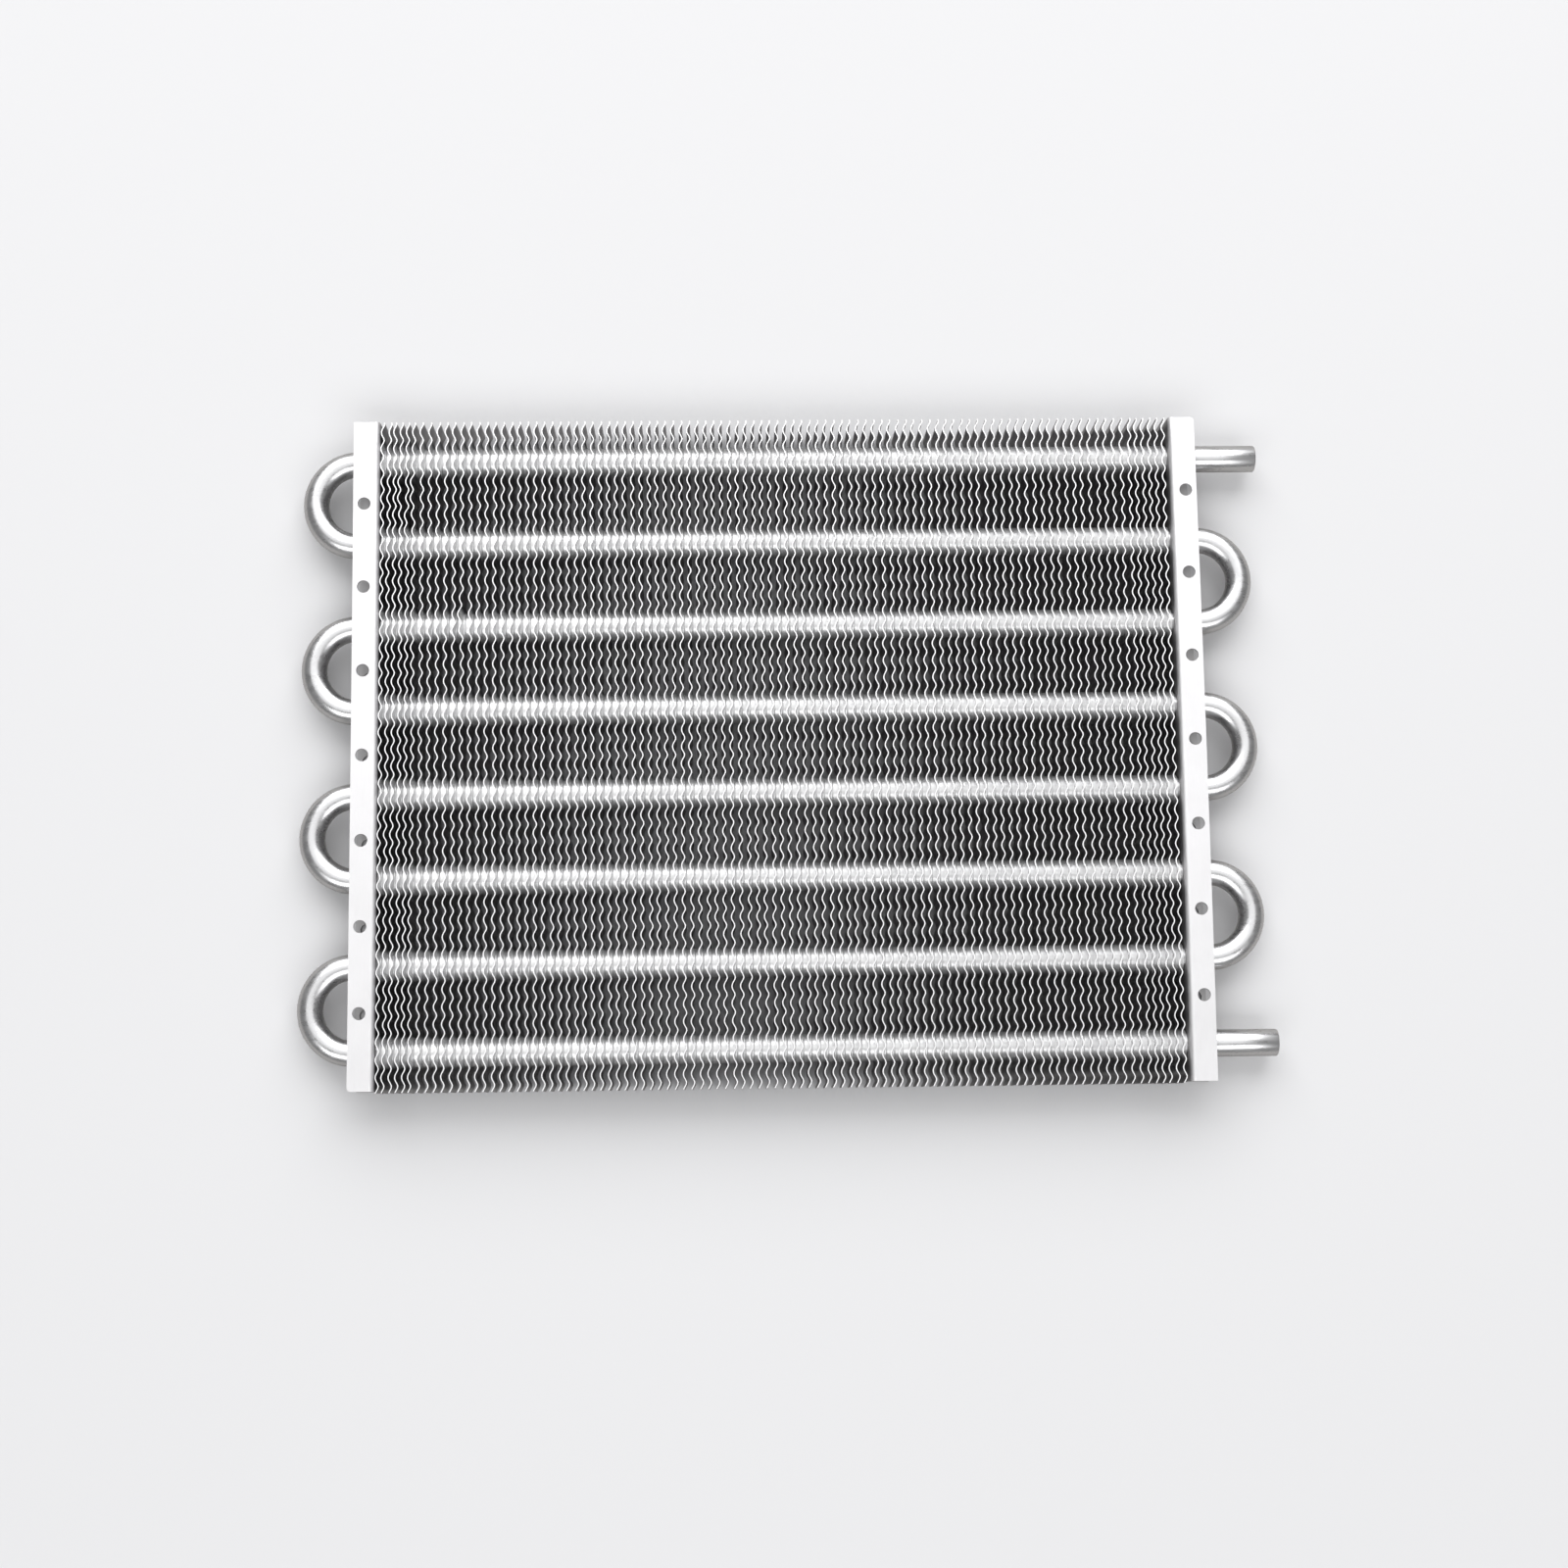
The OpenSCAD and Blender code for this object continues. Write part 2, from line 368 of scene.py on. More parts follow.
def column_ys():
    """Column places down the fin, evenly spaced, with each hole's own columns by angle."""
    ys = []
    edges = [FIN_TOP]
    for k in range(ROWS):
        edges += [row_y(k) + HOLE_R, row_y(k) - HOLE_R]
    edges.append(FIN_BOTTOM)
    for i in range(0, len(edges), 2):
        top, bottom = edges[i], edges[i + 1]
        n = max(2, round((top - bottom) / STEP))
        ys += [(top + (bottom - top) * j / n, None) for j in range(n + 1)]
        if i // 2 < ROWS:
            c = row_y(i // 2)
            angles = [math.pi * j / ARC_COLUMNS for j in range(1, ARC_COLUMNS)]
            ys += [(c + HOLE_R * math.cos(a), c) for a in angles]
    return ys


def fin_sheet():
    """Vertices (x, y, z), faces and collar values of one flat fin at x = 0."""
    verts, faces, rise = [], [], []
    rows_z = (0.0, LIP, 0.5, 1.0)

    def column(y, centre):
        half = math.sqrt(max(HOLE_R**2 - (y - centre) ** 2, 0.0)) if centre is not None else 0.0
        ids = {}
        for part, edge, stop in (("front", FIN_HIGH, AXIS_Z + half), ("back", FIN_LOW, AXIS_Z - half)):
            for side in (-1, 1):
                line = []
                for r, f in enumerate(rows_z):
                    z = edge + (stop - edge) * f
                    if r == 1:
                        z = edge + (LIP if part == "back" else -LIP)
                    thick = EDGE_HALF if r == 0 else FOIL / 2
                    line.append(len(verts))
                    verts.append((side * thick, y, z))
                    rise.append(0.0)
                ids[part, side] = line
        return ids

    columns = [column(y, c) for y, c in column_ys()]
    for a, b in zip(columns, columns[1:]):
        for part in ("front", "back"):
            for side in (-1, 1):
                p, q = a[part, side], b[part, side]
                for r in range(len(rows_z) - 1):
                    faces.append((p[r], q[r], q[r + 1], p[r + 1]))
            faces.append((a[part, -1][0], a[part, 1][0], b[part, 1][0], b[part, -1][0]))
    for c in (columns[0], columns[-1]):
        for part in ("front", "back"):
            p, q = c[part, -1], c[part, 1]
            for r in range(len(rows_z) - 1):
                faces.append((p[r], q[r], q[r + 1], p[r + 1]))
    return verts, faces, rise


def fin_collar(y, verts, faces, rise):
    """A closed ring round one tube, standing on the sheet's right face, with a small flare at its foot."""
    profile = (
        (COLLAR_IN, 0.0, -FOIL / 2),
        (COLLAR_OUT + FLARE, 0.0, -FOIL / 2),
        (COLLAR_OUT + FLARE, 0.0, FOIL / 2),
        (COLLAR_OUT + 0.1 * MM, 0.12, FOIL / 2),
        (COLLAR_OUT, 0.3, FOIL / 2),
        (COLLAR_OUT, 1.0, -RIM_BACK),
        (COLLAR_IN, 1.0, -RIM_BACK),
    )
    start = len(verts)
    for s in range(COLLAR_SIDES):
        a = 2 * math.pi * s / COLLAR_SIDES
        for r, h, x in profile:
            verts.append((x, y + r * math.cos(a), AXIS_Z + r * math.sin(a)))
            rise.append(h)
    n = len(profile)
    for s in range(COLLAR_SIDES):
        t = (s + 1) % COLLAR_SIDES
        for p in range(n):
            q = (p + 1) % n
            faces.append((start + s * n + p, start + t * n + p, start + t * n + q, start + s * n + q))


verts, faces, rise = fin_sheet()
for k in range(ROWS):
    fin_collar(row_y(k), verts, faces, rise)
flat_fin = new_object("flat_fin", verts, faces)
height = flat_fin.data.attributes.new("rise", "FLOAT", "POINT")
height.data.foreach_set("value", rise)
outward(flat_fin)
print("flat fin:", len(flat_fin.data.vertices), "vertices,", len(flat_fin.data.polygons), "faces")

# %% [markdown]
# ## The rule that turns one fin into a pack
# The fins repeat, so Geometry Nodes copies the flat fin along the tubes and bends each copy by the same
# wave. The wave runs straight across the tubes on the fin's edges, and fades to a flat land next to a
# collar, as pressed foil does. A little noise and a few dents, placed by fin number and height, keep the
# rows from looking ruled. The spacing is the CAD model's: a few fins at each end are pushed together.

# %% Node helpers
TIGHT = 5
TIGHT_LEFT = 2.35 * MM
TIGHT_RIGHT = 2.6 * MM
FINS = 100
FIRST_OFF = 1.0 * MM
LAST_OFF = 2.2 * MM
FIN_FROM = MID_X - WEB_X + FIRST_OFF
FIN_TO = MID_X + WEB_X - LAST_OFF
LOOSE = (FIN_TO - FIN_FROM - TIGHT * (TIGHT_LEFT + TIGHT_RIGHT)) / (FINS - 1 - 2 * TIGHT)
WAVE = PITCH / 5
SWING = 0.6 * MM
CREST_SHIFT = 0.5 * MM
FLAT_TO = 5.6 * MM
WAVED_FROM = 8.2 * MM
WANDER = 0.9 * MM
LAST_COLLAR = 1.55 * MM
COLLAR_SHORT = 0.3 * MM


class Rule:
    """Writes a small node tree with arithmetic that reads like arithmetic."""

    def __init__(self, name):
        self.tree = bpy.data.node_groups.new(name, "GeometryNodeTree")
        self.nodes, self.links = self.tree.nodes, self.tree.links

    def socket(self, name, kind, into=True):
        where = "INPUT" if into else "OUTPUT"
        return self.tree.interface.new_socket(name=name, in_out=where, socket_type=kind)

    def set(self, socket, value):
        if isinstance(value, bpy.types.NodeSocket):
            self.links.new(value, socket)
        else:
            socket.default_value = value

    def math(self, operation, a, b=None, c=None):
        node = self.nodes.new("ShaderNodeMath")
        node.operation = operation
        for socket, value in zip(node.inputs, (a, b, c)):
            if value is not None:
                self.set(socket, value)
        return node.outputs[0]

    def add(self, a, b):
        return self.math("ADD", a, b)

    def sub(self, a, b):
        return self.math("SUBTRACT", a, b)

    def mul(self, a, b):
        return self.math("MULTIPLY", a, b)

    def step(self, value, low, high):
        node = self.nodes.new("ShaderNodeMapRange")
        node.interpolation_type = "SMOOTHSTEP"
        self.set(node.inputs["Value"], value)
        self.set(node.inputs["From Min"], low)
        self.set(node.inputs["From Max"], high)
        return node.outputs["Result"]

    def fin_x(self, index):
        """The place of a fin's middle: tight at the left, even along the core, tight at the right."""
        left = self.mul(self.math("MINIMUM", index, float(TIGHT)), TIGHT_LEFT)
        past = self.math("MAXIMUM", self.sub(index, float(TIGHT)), 0.0)
        even = self.mul(self.math("MINIMUM", past, float(FINS - 1 - 2 * TIGHT)), LOOSE)
        last = self.math("MAXIMUM", self.sub(index, float(FINS - 1 - TIGHT)), 0.0)
        right = self.mul(last, TIGHT_RIGHT)
        return self.add(self.add(FIN_FROM, left), self.add(even, right))


print("even spacing of the fins:", round(LOOSE / MM, 3), "mm")

# %% [markdown]
# ## Dents seen on this one
# A few fins were bent in handling, most of them near the top left. Modelling each by hand would fix their
# place for good, so a dent is a row in a small list instead: which fin, how high, how long, and how far its
# front edge leans over, in millimetres. The node tree adds one smooth bump to the wave for each row.

# %% Build the tree
DENTS = (
    (1, 122.0, 5.0, 0.6),
    (3, 98.0, 8.0, -0.85),
    (4, 86.0, 5.0, -0.8),
    (5, 98.0, 8.0, -0.85),
    (11, 51.0, 7.0, -0.8),
    (64, -40.0, 6.0, -0.4),
    (97, 20.0, 8.0, 0.5),
)

rule = Rule("wavy_fin_pack")
rule.socket("Geometry", "NodeSocketGeometry")
first_socket = rule.socket("First fin", "NodeSocketInt")
count_socket = rule.socket("Fins", "NodeSocketInt")
swing_socket = rule.socket("Swing", "NodeSocketFloat")
metal_socket = rule.socket("Metal", "NodeSocketMaterial")
rule.socket("Geometry", "NodeSocketGeometry", into=False)
given = rule.nodes.new("NodeGroupInput")
result = rule.nodes.new("NodeGroupOutput")

points = rule.nodes.new("GeometryNodePoints")
rule.set(points.inputs["Count"], given.outputs["Fins"])
number = rule.nodes.new("GeometryNodeInputIndex")
tag = rule.nodes.new("GeometryNodeStoreNamedAttribute")
tag.data_type = "FLOAT"
tag.domain = "POINT"
tag.inputs["Name"].default_value = "fin"
rule.set(tag.inputs["Geometry"], points.outputs[0])
rule.set(tag.inputs["Value"], rule.add(number.outputs[0], given.outputs["First fin"]))
copies = rule.nodes.new("GeometryNodeInstanceOnPoints")
rule.set(copies.inputs["Points"], tag.outputs[0])
rule.set(copies.inputs["Instance"], given.outputs["Geometry"])
real = rule.nodes.new("GeometryNodeRealizeInstances")
rule.set(real.inputs[0], copies.outputs[0])


def attribute(name):
    node = rule.nodes.new("GeometryNodeInputNamedAttribute")
    node.data_type = "FLOAT"
    node.inputs["Name"].default_value = name
    return node.outputs["Attribute"]


fin, lift = attribute("fin"), attribute("rise")
place = rule.nodes.new("GeometryNodeInputPosition")
split = rule.nodes.new("ShaderNodeSeparateXYZ")
rule.set(split.inputs[0], place.outputs[0])
x, y, z = split.outputs

# the wave, with crests a little rounder on the left than on the right
angle = rule.mul(rule.sub(y, row_y(0) + CREST_SHIFT), 2 * math.pi / WAVE)
wave = rule.add(rule.math("COSINE", angle), rule.mul(rule.math("COSINE", rule.mul(angle, 2.0)), 0.08))
wave = rule.mul(wave, given.outputs["Swing"])

# how far a point is from the nearest tube's axis: flat beside the collar, waved further out
across = rule.math("WRAP", rule.sub(y, row_y(0)), PITCH / 2, -PITCH / 2)
up = rule.sub(z, AXIS_Z)
reach = rule.math("SQRT", rule.add(rule.mul(across, across), rule.mul(up, up)))
free = rule.step(reach, FLAT_TO, WAVED_FROM)

# slow noise along each fin, strongest at its front edge
seat = rule.nodes.new("ShaderNodeCombineXYZ")
rule.set(seat.inputs[0], rule.mul(fin, 3.7))
rule.set(seat.inputs[1], rule.mul(y, 38.0))
noise = rule.nodes.new("ShaderNodeTexNoise")
noise.inputs["Scale"].default_value = 1.0
noise.inputs["Detail"].default_value = 2.0
rule.set(noise.inputs["Vector"], seat.outputs[0])
front = rule.step(z, 0.35 * DEPTH, DEPTH)
wander = rule.mul(rule.mul(rule.sub(noise.outputs["Fac"], 0.5), WANDER), rule.add(0.35, front))
for which, at, long, lean in DENTS:
    here = rule.math("COMPARE", fin, float(which), 0.1)
    away = rule.math("DIVIDE", rule.sub(y, MID_Y + at * MM), long * MM)
    bell = rule.math("POWER", math.e, rule.mul(rule.mul(away, away), -1.0))
    wander = rule.add(wander, rule.mul(rule.mul(here, bell), rule.mul(front, lean * MM)))

land = rule.mul(rule.sub(1.0, free), SWING)
bent = rule.add(land, rule.mul(free, rule.add(wave, wander)))
gap = rule.sub(rule.fin_x(rule.add(fin, 1.0)), rule.fin_x(fin))
is_last = rule.math("GREATER_THAN", fin, FINS - 1.5)
gap = rule.add(rule.mul(gap, rule.sub(1.0, is_last)), rule.mul(is_last, LAST_COLLAR))
collar = rule.mul(lift, rule.sub(gap, COLLAR_SHORT))
moved = rule.add(rule.add(rule.fin_x(fin), x), rule.add(bent, collar))
join = rule.nodes.new("ShaderNodeCombineXYZ")
for socket, value in zip(join.inputs, (moved, y, z)):
    rule.set(socket, value)
put = rule.nodes.new("GeometryNodeSetPosition")
rule.set(put.inputs["Geometry"], real.outputs[0])
rule.set(put.inputs["Position"], join.outputs[0])
paint = rule.nodes.new("GeometryNodeSetMaterial")
rule.set(paint.inputs["Geometry"], put.outputs[0])
rule.set(paint.inputs["Material"], given.outputs["Metal"])
rule.set(result.inputs[0], paint.outputs[0])
print("node tree:", len(rule.nodes), "nodes,", len(DENTS), "dents")

# %% [markdown]
# ## Twenty packs of fins
# The CAD model holds the fins in twenty packs of five, so the tree runs twenty times with another first
# fin. Each result becomes a plain mesh: the modifier has done its work, and a mesh is what the shadow of
# the other packs needs.


# %% Make the packs
def plain_mesh(obj):
    """Replaces an object's mesh by what its modifiers make of it."""
    bpy.context.view_layer.update()
    graph = bpy.context.evaluated_depsgraph_get()
    made = bpy.data.meshes.new_from_object(obj.evaluated_get(graph))
    obj.modifiers.clear()
    old = obj.data
    obj.data = made
    if not old.users:
        bpy.data.meshes.remove(old)


PACKS = 20
PER_PACK = FINS // PACKS
fin_faces = 0
for g in range(PACKS):
    pack = bpy.data.objects.new(f"fin_pack_{g + 1:02d}", flat_fin.data.copy())
    bpy.context.scene.collection.objects.link(pack)
    grow = pack.modifiers.new("wavy fins", "NODES")
    grow.node_group = rule.tree
    grow[first_socket.identifier] = g * PER_PACK
    grow[count_socket.identifier] = PER_PACK
    grow[swing_socket.identifier] = SWING
    grow[metal_socket.identifier] = fin_metal
    plain_mesh(pack)
    shade(pack, angle=40)
    dress(pack, fin_metal, "fin_sheet", f"fins_{g + 1:02d}")
    fin_faces += len(pack.data.polygons)
bpy.data.objects.remove(flat_fin)
print("fin faces in all:", fin_faces)

# %% [markdown]
# ## Folded end plates
# Each plate is one strip folded twice into a channel, pierced along both flanges and for the tubes. A
# section swept along the strip gives the folds their true radius, and a boolean cuts the holes. The sweep
# has many steps, so that the strip can bow by a few tenths of a millimetre as the real one does. The right
# plate is the left one turned half round, which puts its row of holes higher.

# %% Sweep, pierce and bow a plate
SHEET = 1.0 * MM
FOLD = 1.8 * MM
FLANGE = 9.8 * MM
HOLE_X = FLANGE - 4.1 * MM
HOLE_SHIFT = 1.6 * MM
CORNER = 1.5 * MM
FLANGE_HOLE_R = 2.4 * MM
TUBE_HOLE_R = 4.81 * MM
WORN_EDGE = 0.16 * MM
SWEEP_STEPS = 30
PLATE_LEN = plate_high.y - plate_low.y


def plate_section(steps=6):
    """The channel's outline in x and z, web at x = 0, free edges at +x."""

    def arc(cx, cz, r, start, stop):
        turn = [start + (stop - start) * i / steps for i in range(steps + 1)]
        return [(cx + r * math.cos(a), cz + r * math.sin(a)) for a in turn]

    inner = FOLD - SHEET
    half = math.pi / 2
    outline = [(FLANGE, 0.0)]
    outline = outline + arc(FOLD, FOLD, FOLD, -half, -math.pi)
    outline = outline + arc(FOLD, DEPTH - FOLD, FOLD, math.pi, half)
    outline = outline + [(FLANGE, DEPTH), (FLANGE, DEPTH - SHEET)]
    outline = outline + arc(FOLD, DEPTH - FOLD, inner, half, math.pi)
    outline = outline + arc(FOLD, FOLD, inner, -math.pi, -half)
    return outline + [(FLANGE, SHEET)]


def prism(points, place, steps):
    """Sweeps a closed outline; place(p, t) turns a point and a step from 0 to 1 into a vertex."""
    n = len(points)
    verts = [place(p, s / steps) for s in range(steps + 1) for p in points]
    faces = [tuple(range(n)), tuple(steps * n + i for i in reversed(range(n)))]
    for s in range(steps):
        for i in range(n):
            j = (i + 1) % n
            faces.append((s * n + i, (s + 1) * n + i, (s + 1) * n + j, s * n + j))
    return verts, faces


def rod(verts, faces, centre, axis, radius, length, sides=40):
    """Adds a closed cylinder to a list of vertices and faces."""
    u = Vector((0, 1, 0)) if abs(axis.y) < 0.5 else Vector((1, 0, 0))
    v = axis.cross(u)
    start = len(verts)
    for end in (-0.5, 0.5):
        for s in range(sides):
            a = 2 * math.pi * s / sides
            verts.append(centre + axis * (end * length) + (u * math.cos(a) + v * math.sin(a)) * radius)
    faces.append(tuple(start + s for s in range(sides)))
    faces.append(tuple(start + sides + s for s in reversed(range(sides))))
    for s in range(sides):
        t = (s + 1) % sides
        faces.append((start + s, start + sides + s, start + sides + t, start + t))


def corner_block(verts, faces, side):
    """A block with one round face, which takes the sharp corner off both flanges."""
    x0, y0 = FLANGE - CORNER, side * (PLATE_LEN / 2 - CORNER)
    angles = [math.pi / 2 * i / 8 for i in range(9)]
    outline = [(x0 + CORNER * math.sin(a), y0 + side * CORNER * math.cos(a)) for a in angles]
    far = (x0 + 2 * CORNER, y0 + side * 2 * CORNER)
    outline = outline + [(far[0], y0), far, (x0, far[1])]
    start = len(verts)
    v, f = prism(outline, lambda p, t: Vector((p[0], p[1], -MM + t * (DEPTH + 2 * MM))), 1)
    verts += v
    faces += [tuple(start + i for i in face) for face in f]


def end_plate(name, node, web, turn, bow):
    """turn is 1 for the right plate and -1 for the left, which is the same part turned half round."""
    section = plate_section()
    verts, faces = prism(section, lambda p, t: Vector((p[0], PLATE_LEN * (t - 0.5), p[1])), SWEEP_STEPS)
    plate = new_object(name, verts, faces, smooth=False)
    outward(plate)
    cut_verts, cut_faces = [], []
    for k in range(ROWS - 1):
        centre = Vector((HOLE_X, ((ROWS - 2) / 2 - k) * PITCH + HOLE_SHIFT, AXIS_Z))
        rod(cut_verts, cut_faces, centre, Vector((0, 0, 1)), FLANGE_HOLE_R, DEPTH + 4 * MM)
    for k in range(ROWS):
        centre = Vector((0, ((ROWS - 1) / 2 - k) * PITCH, AXIS_Z))
        rod(cut_verts, cut_faces, centre, Vector((1, 0, 0)), TUBE_HOLE_R, 4 * MM, 48)
    corner_block(cut_verts, cut_faces, 1)
    cutter = new_object(name + "_cutter", cut_verts, cut_faces, smooth=False)
    outward(cutter)
    pierce = plate.modifiers.new("holes", "BOOLEAN")
    pierce.object = cutter
    pierce.solver = "EXACT"
    soften = plate.modifiers.new("worn edges", "BEVEL")
    soften.width = WORN_EDGE
    soften.segments = 2
    soften.limit_method = "ANGLE"
    soften.angle_limit = math.radians(50)
    plain_mesh(plate)
    bpy.data.objects.remove(cutter)
    for v in plate.data.vertices:
        lean = bow * MM * (1 - (v.co.y / (PLATE_LEN / 2)) ** 2) * turn
        local_x = v.co.x + lean * turn
        v.co = Vector((web + turn * local_x, MID_Y + turn * v.co.y, v.co.z))
    outward(plate)
    shade(plate, angle=28)
    # a flat face keeps flat shading, or the fold's soft shading would smear over it
    for face in plate.data.polygons:
        face.use_smooth = face.use_smooth and max(abs(c) for c in face.normal) < 0.999
    return dress(plate, plate_metal, "plate_sheet", node)


left = end_plate("left_plate", "end_plate_left", MID_X - WEB_X, -1, -0.15)
right = end_plate("right_plate", "end_plate_right", MID_X + WEB_X, 1, 0.35)
print("plates:", len(left.data.polygons), "and", len(right.data.polygons), "faces")

# %% [markdown]
# ## Tubes, hairpins and bends
# A hairpin is one length of drawn tube bent back on itself, with its open ends expanded into sockets. A
# curve with a bevel would give the bends, but not the sockets or the open bore, so each tube is a ring of
# points swept along its path with a radius that changes on the way, out along the outside and back along
# the bore. The short return bends and the two plain ends are made by the same function.

# %% Sweep a hollow tube
BEND_R = PITCH / 2
SOCKET_FROM = WEB_X + 2.0 * MM
SOCKET_END = SOCKET_FROM + 7.0 * MM
TUBE_STOP = SOCKET_FROM + 1.3 * MM
HAIRPIN_BEND = WEB_X + 9.0 * MM
RETURN_BEND = SOCKET_END + 1.5 * MM
SOCKET_R = 5.66 * MM
SOCKET_BORE_R = 4.86 * MM
SOCKET_CONE = 1.0 * MM
NECK = 1.5 * MM
HOSE_CONE = 1.0 * MM
HOSE_R = (stub_high.y - stub_low.y) / 2
SIDES = 40


def tube(name, path, outside, inside):
    """path lists (centre, direction); outside and inside list a radius for each of its places."""
    verts, faces = [], []
    n = len(path)
    loop = [(i, outside[i]) for i in range(n)] + [(i, inside[i]) for i in reversed(range(n))]
    up = Vector((0, 0, 1))
    for i, r in loop:
        centre, ahead = path[i]
        side = up.cross(ahead).normalized()
        for s in range(SIDES):
            a = 2 * math.pi * s / SIDES
            verts.append(centre + side * (r * math.cos(a)) + up * (r * math.sin(a)))
    m = len(loop)
    for i in range(m):
        j = (i + 1) % m
        for s in range(SIDES):
            t = (s + 1) % SIDES
            faces.append((i * SIDES + s, j * SIDES + s, j * SIDES + t, i * SIDES + t))
    obj = new_object(name, verts, faces)
    outward(obj)
    shade(obj, angle=50)
    return obj


def u_path(y, start, bend, way, steps=26):
    """A leg, half a turn and a leg back. way is 1 for a bend at the right and -1 at the left."""
    path, straight = [], [start + (bend - start) * f for f in (0.0, 0.35, 0.7)]
    for px in straight:
        path.append((Vector((MID_X + way * px, y + BEND_R, AXIS_Z)), Vector((way, 0, 0))))
    for i in range(steps + 1):
        a = math.pi * i / steps
        c = Vector((MID_X + way * (bend + BEND_R * math.sin(a)), y + BEND_R * math.cos(a), AXIS_Z))
        path.append((c, Vector((way * math.cos(a), -math.sin(a), 0))))
    for px in reversed(straight):
        path.append((Vector((MID_X + way * px, y - BEND_R, AXIS_Z)), Vector((-way, 0, 0))))
    return path


def hairpin(k):
    """Legs run from the sockets at the right to the bend at the left."""
    y = (row_y(2 * k) + row_y(2 * k + 1)) / 2
    core = u_path(y, -SOCKET_FROM, HAIRPIN_BEND, -1)
    socket = (SOCKET_END, SOCKET_FROM + SOCKET_CONE)
    path = [(Vector((MID_X + x, y + BEND_R, AXIS_Z)), Vector((-1, 0, 0))) for x in socket]
    path += core
    path += [(Vector((MID_X + x, y - BEND_R, AXIS_Z)), Vector((1, 0, 0))) for x in reversed(socket)]
    outer = [SOCKET_R] * 2 + [TUBE_R] * len(core) + [SOCKET_R] * 2
    inner = [SOCKET_BORE_R] * 2 + [BORE_R] * len(core) + [SOCKET_BORE_R] * 2
    return tube(f"hairpin_tube_{k + 1}", path, outer, inner)


for k in range(4):
    dress(hairpin(k), tube_metal, "tube_metal", f"hairpin_{k + 1}")
for k in range(3):
    y = (row_y(2 * k + 1) + row_y(2 * k + 2)) / 2
    path = u_path(y, TUBE_STOP, RETURN_BEND, 1)
    n = len(path)
    bend = tube(f"return_tube_{k + 1}", path, [TUBE_R] * n, [BORE_R] * n)
    dress(bend, tube_metal, "tube_metal", f"return_bend_{k + 1}")
for name, k in (("inlet", 0), ("outlet", ROWS - 1)):
    neck = MID_X + SOCKET_END + NECK
    xs = [stub_low.x, neck, neck + HOSE_CONE, stub_high.x - 0.4 * MM, stub_high.x]
    path = [(Vector((px, row_y(k), AXIS_Z)), Vector((1, 0, 0))) for px in xs]
    hose_bore = HOSE_R - (TUBE_R - BORE_R)
    outer = [TUBE_R, TUBE_R, HOSE_R, HOSE_R, HOSE_R - 0.3 * MM]
    end = tube(f"{name}_tube", path, outer, [BORE_R, BORE_R] + [hose_bore] * 3)
    dress(end, tube_metal, "tube_metal", f"{name}_stub")
print("tubes dressed")

# %% [markdown]
# ## Braze at the sockets
# The rings of filler at the sockets' mouths are small and plain, and the CAD solids already have their
# shape. They only take the dull finish of braze, through their own material slot.

# %% Finish the braze rings
for node in ("bend_braze_rings", "stub_braze_rings"):
    ring = bpy.data.objects[node]
    ring.data.materials.clear()
    ring.data.materials.append(braze_metal)
print("braze rings finished")

# %% [markdown]
# ## Floor and light
# The cooler lies on a plain pale floor. Bare metal shows what surrounds it, so the light is what makes it
# look right. Two wide soft lights, behind and in front, catch the collars on both sides of each tube row,
# and come in too low to reach far down between the fins. A weak third one hangs overhead. The floor and the
# world are paler to the camera than to the light that bounces off them, so the background stays clean and
# the gaps aren't lit from below.

# %% Floor and world
FLOOR = 3.0
FLOOR_SEEN = (0.66, 0.66, 0.67, 1.0)
FLOOR_UNSEEN = (0.38, 0.37, 0.36, 1.0)
SKY_SEEN = 0.95
SKY_UNSEEN = 0.22

corners = [(-FLOOR, -FLOOR, 0), (FLOOR, -FLOOR, 0), (FLOOR, FLOOR, 0), (-FLOOR, FLOOR, 0)]
floor = new_object("floor", corners, [(0, 1, 2, 3)], smooth=False)
floor.location.z = -0.05 * MM
floor_mat = bpy.data.materials.new("pale_floor")
floor_mat.use_nodes = True
tree = floor_mat.node_tree
seen = tree.nodes.new("ShaderNodeLightPath").outputs["Is Camera Ray"]
pale = shader_mix(tree, seen, FLOOR_UNSEEN, FLOOR_SEEN, colour=True)
for key, value in (("Base Color", pale), ("Roughness", 0.9), ("Specular IOR Level", 0.1)):
    feed(tree, tree.nodes["Principled BSDF"].inputs[key], value)
floor.data.materials.append(floor_mat)

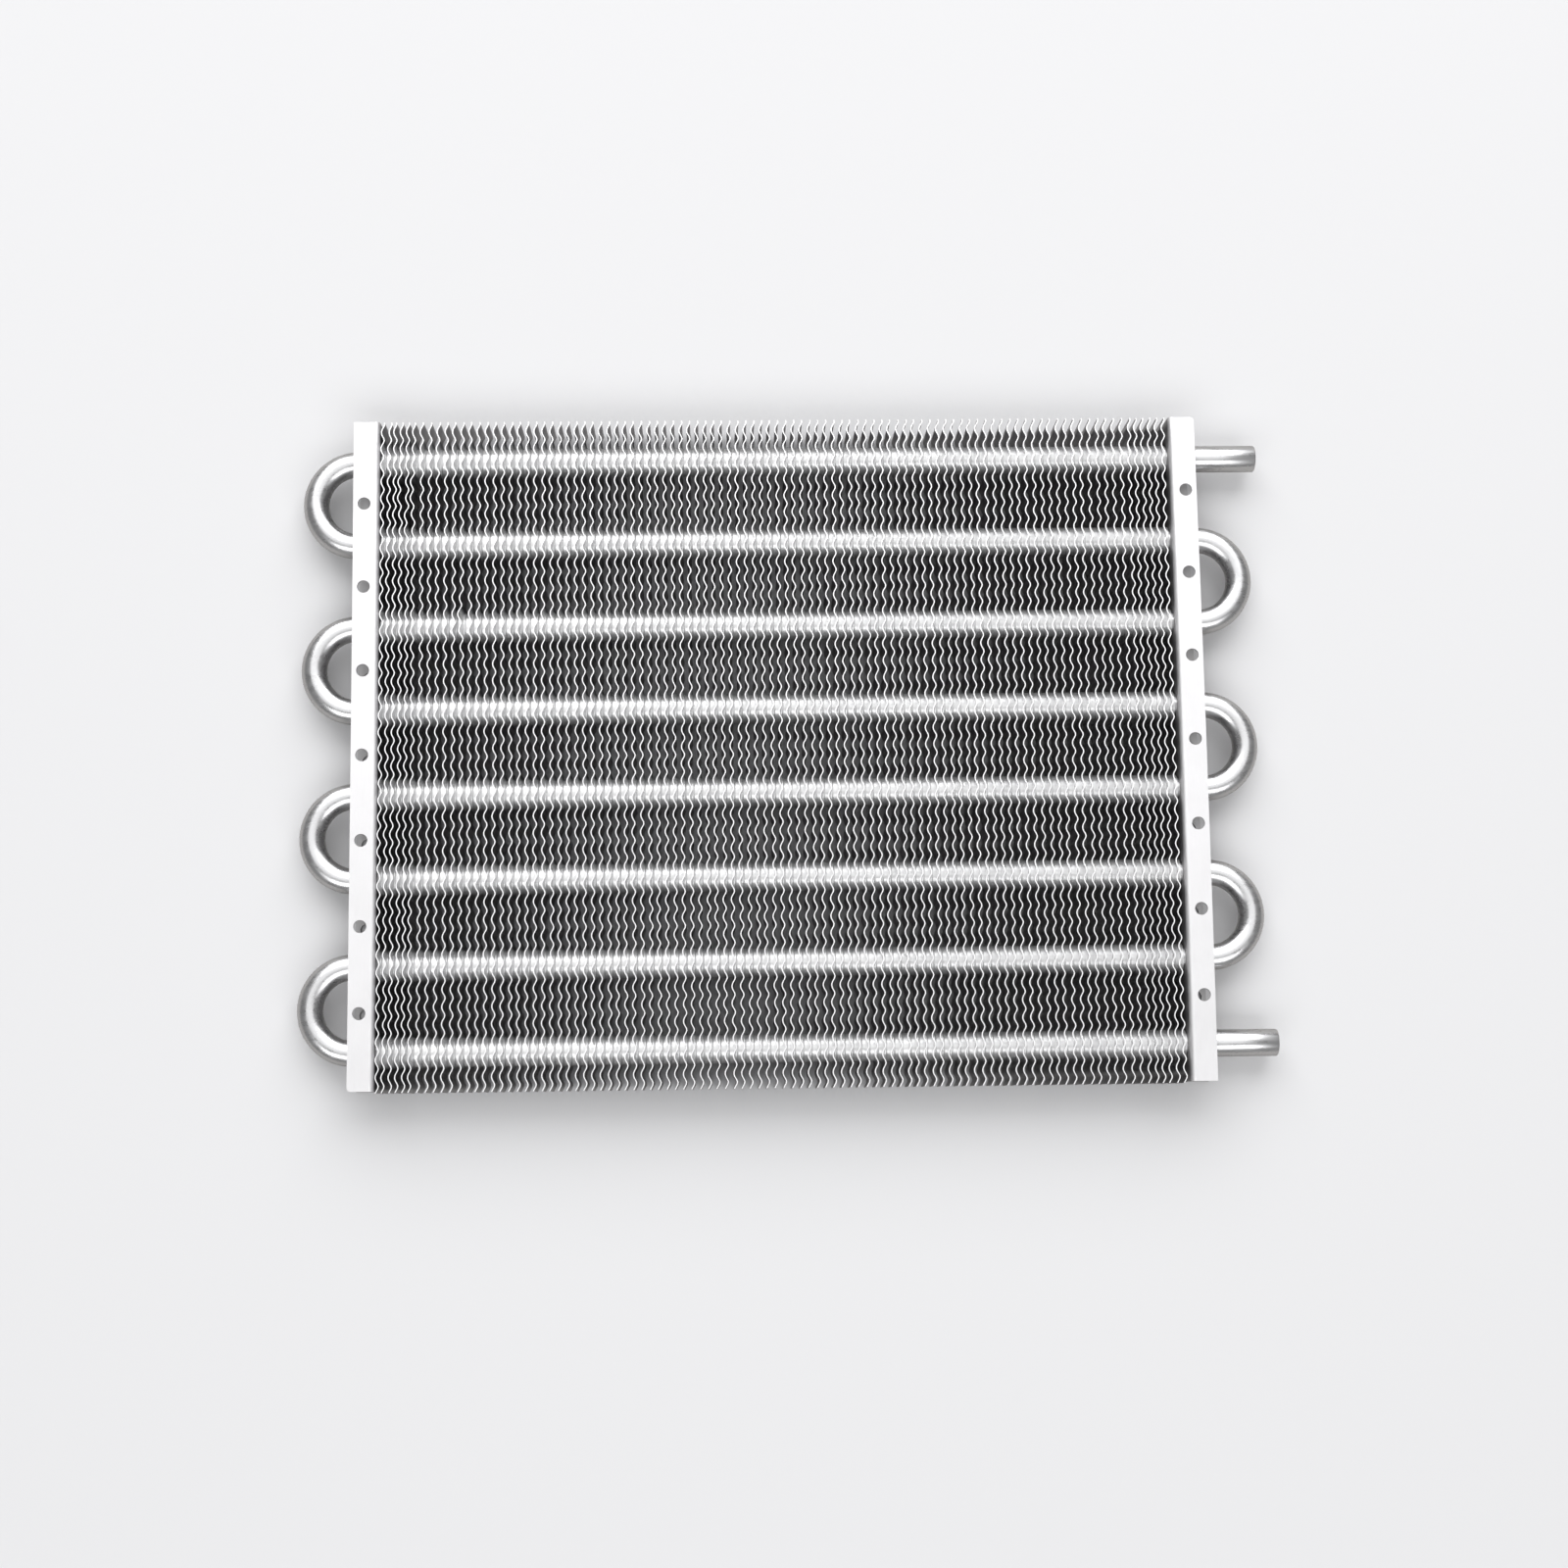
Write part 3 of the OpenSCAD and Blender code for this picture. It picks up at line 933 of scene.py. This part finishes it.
world = bpy.data.worlds.new("studio")
bpy.context.scene.world = world
world.use_nodes = True
tree = world.node_tree
sky = tree.nodes["Background"]
sky.inputs["Color"].default_value = (1.0, 1.0, 1.0, 1.0)
seen = tree.nodes.new("ShaderNodeLightPath").outputs["Is Camera Ray"]
feed(tree, sky.inputs["Strength"], shader_range(tree, seen, 0.0, 1.0, SKY_UNSEEN, SKY_SEEN))
print("floor and world ready")


# %% Three soft lights
def soft_light(name, place, aim, size, power):
    light = bpy.data.lights.new(name, "AREA")
    light.shape = "RECTANGLE"
    light.size, light.size_y = size
    light.energy = power
    obj = bpy.data.objects.new(name, light)
    bpy.context.scene.collection.objects.link(obj)
    obj.location = place
    obj.rotation_mode = "QUATERNION"
    obj.rotation_quaternion = (Vector(aim) - Vector(place)).to_track_quat("-Z", "Y")


soft_light("overhead", (0.0, 0.3, 2.2), (0.0, 0.0, 0.0), (2.6, 1.4), 11.0)
soft_light("behind", (0.0, 2.0, 1.7), (0.0, 0.0, 0.0), (3.6, 2.4), 92.0)
soft_light("in_front", (0.0, -1.6, 1.9), (0.0, 0.0, 0.0), (3.6, 1.2), 36.0)

# %% [markdown]
# ## The camera
# The photograph looks down on the cooler from a little below its lower edge. The place and turn of the
# camera were worked out from the rows of flange holes and tubes, whose spacing is known, so the picture's
# perspective follows from their sizes.

# %% Set the camera
camera_data = bpy.data.cameras.new("camera")
camera_data.sensor_fit = "HORIZONTAL"
camera_data.sensor_width = 36.0
camera_data.lens = 36.0 * 2500 / 1600
camera_data.clip_start = 0.05
camera_data.clip_end = 20.0
camera = bpy.data.objects.new("camera", camera_data)
bpy.context.scene.collection.objects.link(camera)
camera.rotation_mode = "XYZ"
camera.location = (MID_X - 21.343 * MM, MID_Y - 138.68 * MM, DEPTH + 898.232 * MM)
camera.rotation_euler = (0.138194, -0.0234557, -0.0132731)
bpy.context.scene.camera = camera
bpy.context.scene.view_settings.view_transform = "Standard"
bpy.context.scene.view_settings.look = "None"
print("camera at", [round(v, 3) for v in camera.location])
